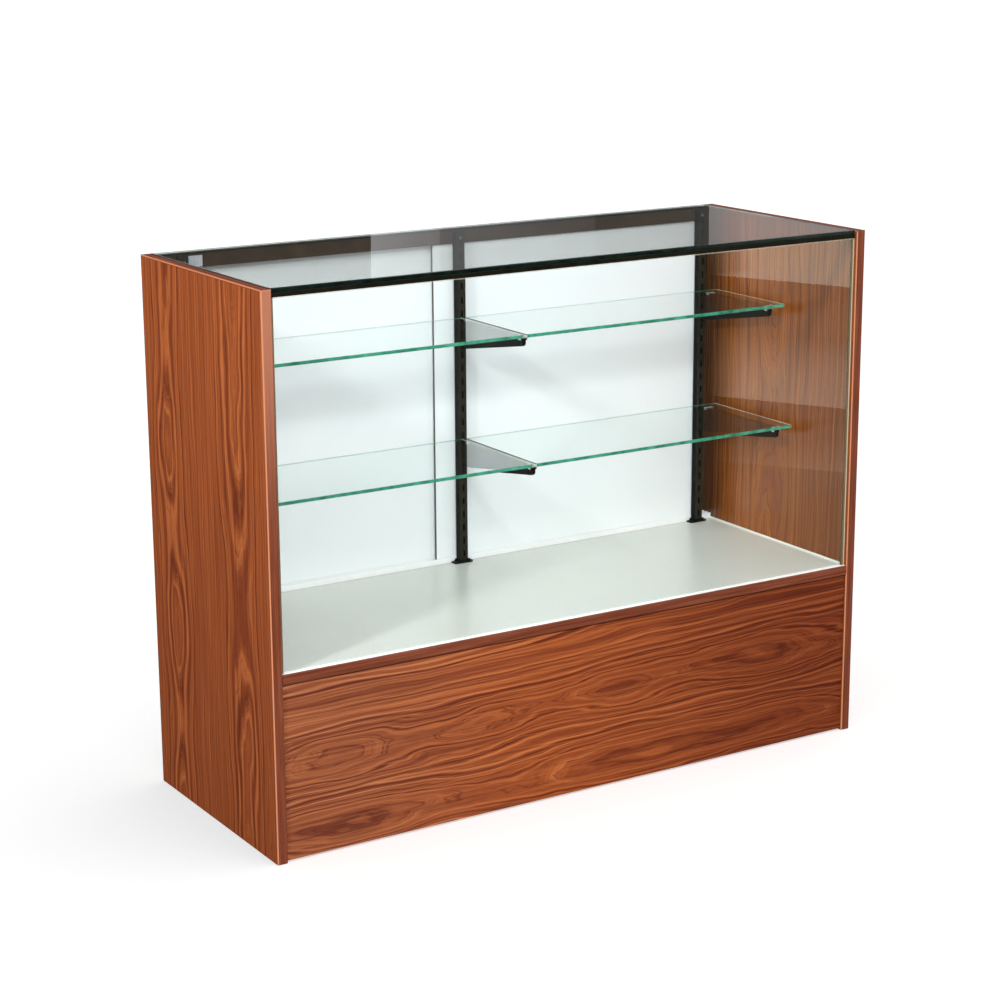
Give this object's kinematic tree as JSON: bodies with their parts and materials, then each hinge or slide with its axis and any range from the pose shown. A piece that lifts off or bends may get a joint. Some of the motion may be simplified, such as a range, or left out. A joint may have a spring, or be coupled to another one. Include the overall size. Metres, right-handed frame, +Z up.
{
  "type": "display counter",
  "caption": "Retail display counter: wood-grain end panels and kick board, glass front and top, glass shelves on slotted standards, sliding rear doors, open storage bay behind.",
  "frame": {"origin": "floor level, midway between the end panels and midway from front to rear", "axes": "+X along the counter to the customer's right, +Y to the clerk's side, +Z up"},
  "size_m": [1.219, 0.461, 0.957],
  "materials": {
    "cherry_laminate": "satin wood-grain laminate",
    "cherry_edge": "satin edge band",
    "white_edge": "satin",
    "white_board": "white melamine",
    "white_hardboard": "white enamelled hardboard",
    "pane_glass": "clear",
    "shelf_glass": "clear with green edges",
    "black_extrusion": "black anodised",
    "white_plastic": "gloss",
    "clear_vinyl": "translucent vinyl",
    "pad_vinyl": "translucent vinyl",
    "black_rubber": "matte",
    "black_steel": "satin black paint",
    "black_plastic": "matte",
    "zinc_steel": "zinc plated"
  },
  "bodies": {
    "case": {"cam_bolts": "zinc_steel", "cam_locks": "zinc_steel", "centre_lower_bracket": "black_steel", "centre_standard": "black_steel", "centre_standard_foot": "black_plastic", "centre_upper_bracket": "black_steel", "deck_end_beads": "white_plastic", "deck_front_edge_band": "cherry_edge", "deck_rear_edge_band": "white_edge", "display_deck": "white_board", "front_glass": "pane_glass", "front_glass_setting_strip": "clear_vinyl", "front_glass_top_seal": "clear_vinyl", "front_glazing_tape": "black_rubber", "front_kick_panel": "cherry_laminate", "front_top_channel": "black_extrusion", "kick_cleats": "white_board", "left_end_panel": "cherry_laminate", "left_front_edge_band": "cherry_edge", "left_glass_seal": "clear_vinyl", "left_lower_bracket": "black_steel", "left_lower_shelf": "shelf_glass", "left_rear_edge_band": "cherry_edge", "left_standard": "black_steel", "left_standard_foot": "black_plastic", "left_top_edge_band": "cherry_edge", "left_top_gasket": "black_rubber", "left_upper_bracket": "black_steel", "left_upper_shelf": "shelf_glass", "lower_door_track": "white_plastic", "rail_clip_plate": "zinc_steel", "rail_end_blocks": "black_plastic", "rear_glazing_tape": "black_rubber", "rear_top_rail": "black_extrusion", "right_end_panel": "cherry_laminate", "right_front_edge_band": "cherry_edge", "right_glass_seal": "clear_vinyl", "right_lower_bracket": "black_steel", "right_lower_shelf": "shelf_glass", "right_rear_edge_band": "cherry_edge", "right_standard": "black_steel", "right_standard_foot": "black_plastic", "right_top_edge_band": "cherry_edge", "right_top_gasket": "black_rubber", "right_upper_bracket": "black_steel", "right_upper_shelf": "shelf_glass", "shelf_pads": "pad_vinyl", "standard_top_screws": "zinc_steel", "storage_floor": "white_board", "storage_floor_rail": "white_board", "top_glass": "pane_glass"},
    "left_door": {"left_door_panel": "white_hardboard", "left_finger_cup": "white_plastic"},
    "right_door": {"right_door_panel": "white_hardboard", "right_finger_cup": "white_plastic"}
  },
  "joints": [
    {"name": "left_door_slide", "type": "slide", "parent": "case", "child": "left_door", "axis": [1, 0, 0], "range_m": [0, 0.568]},
    {"name": "right_door_slide", "type": "slide", "parent": "case", "child": "right_door", "axis": [-1, 0, 0], "range_m": [-0.03, 0.538]}
  ]
}
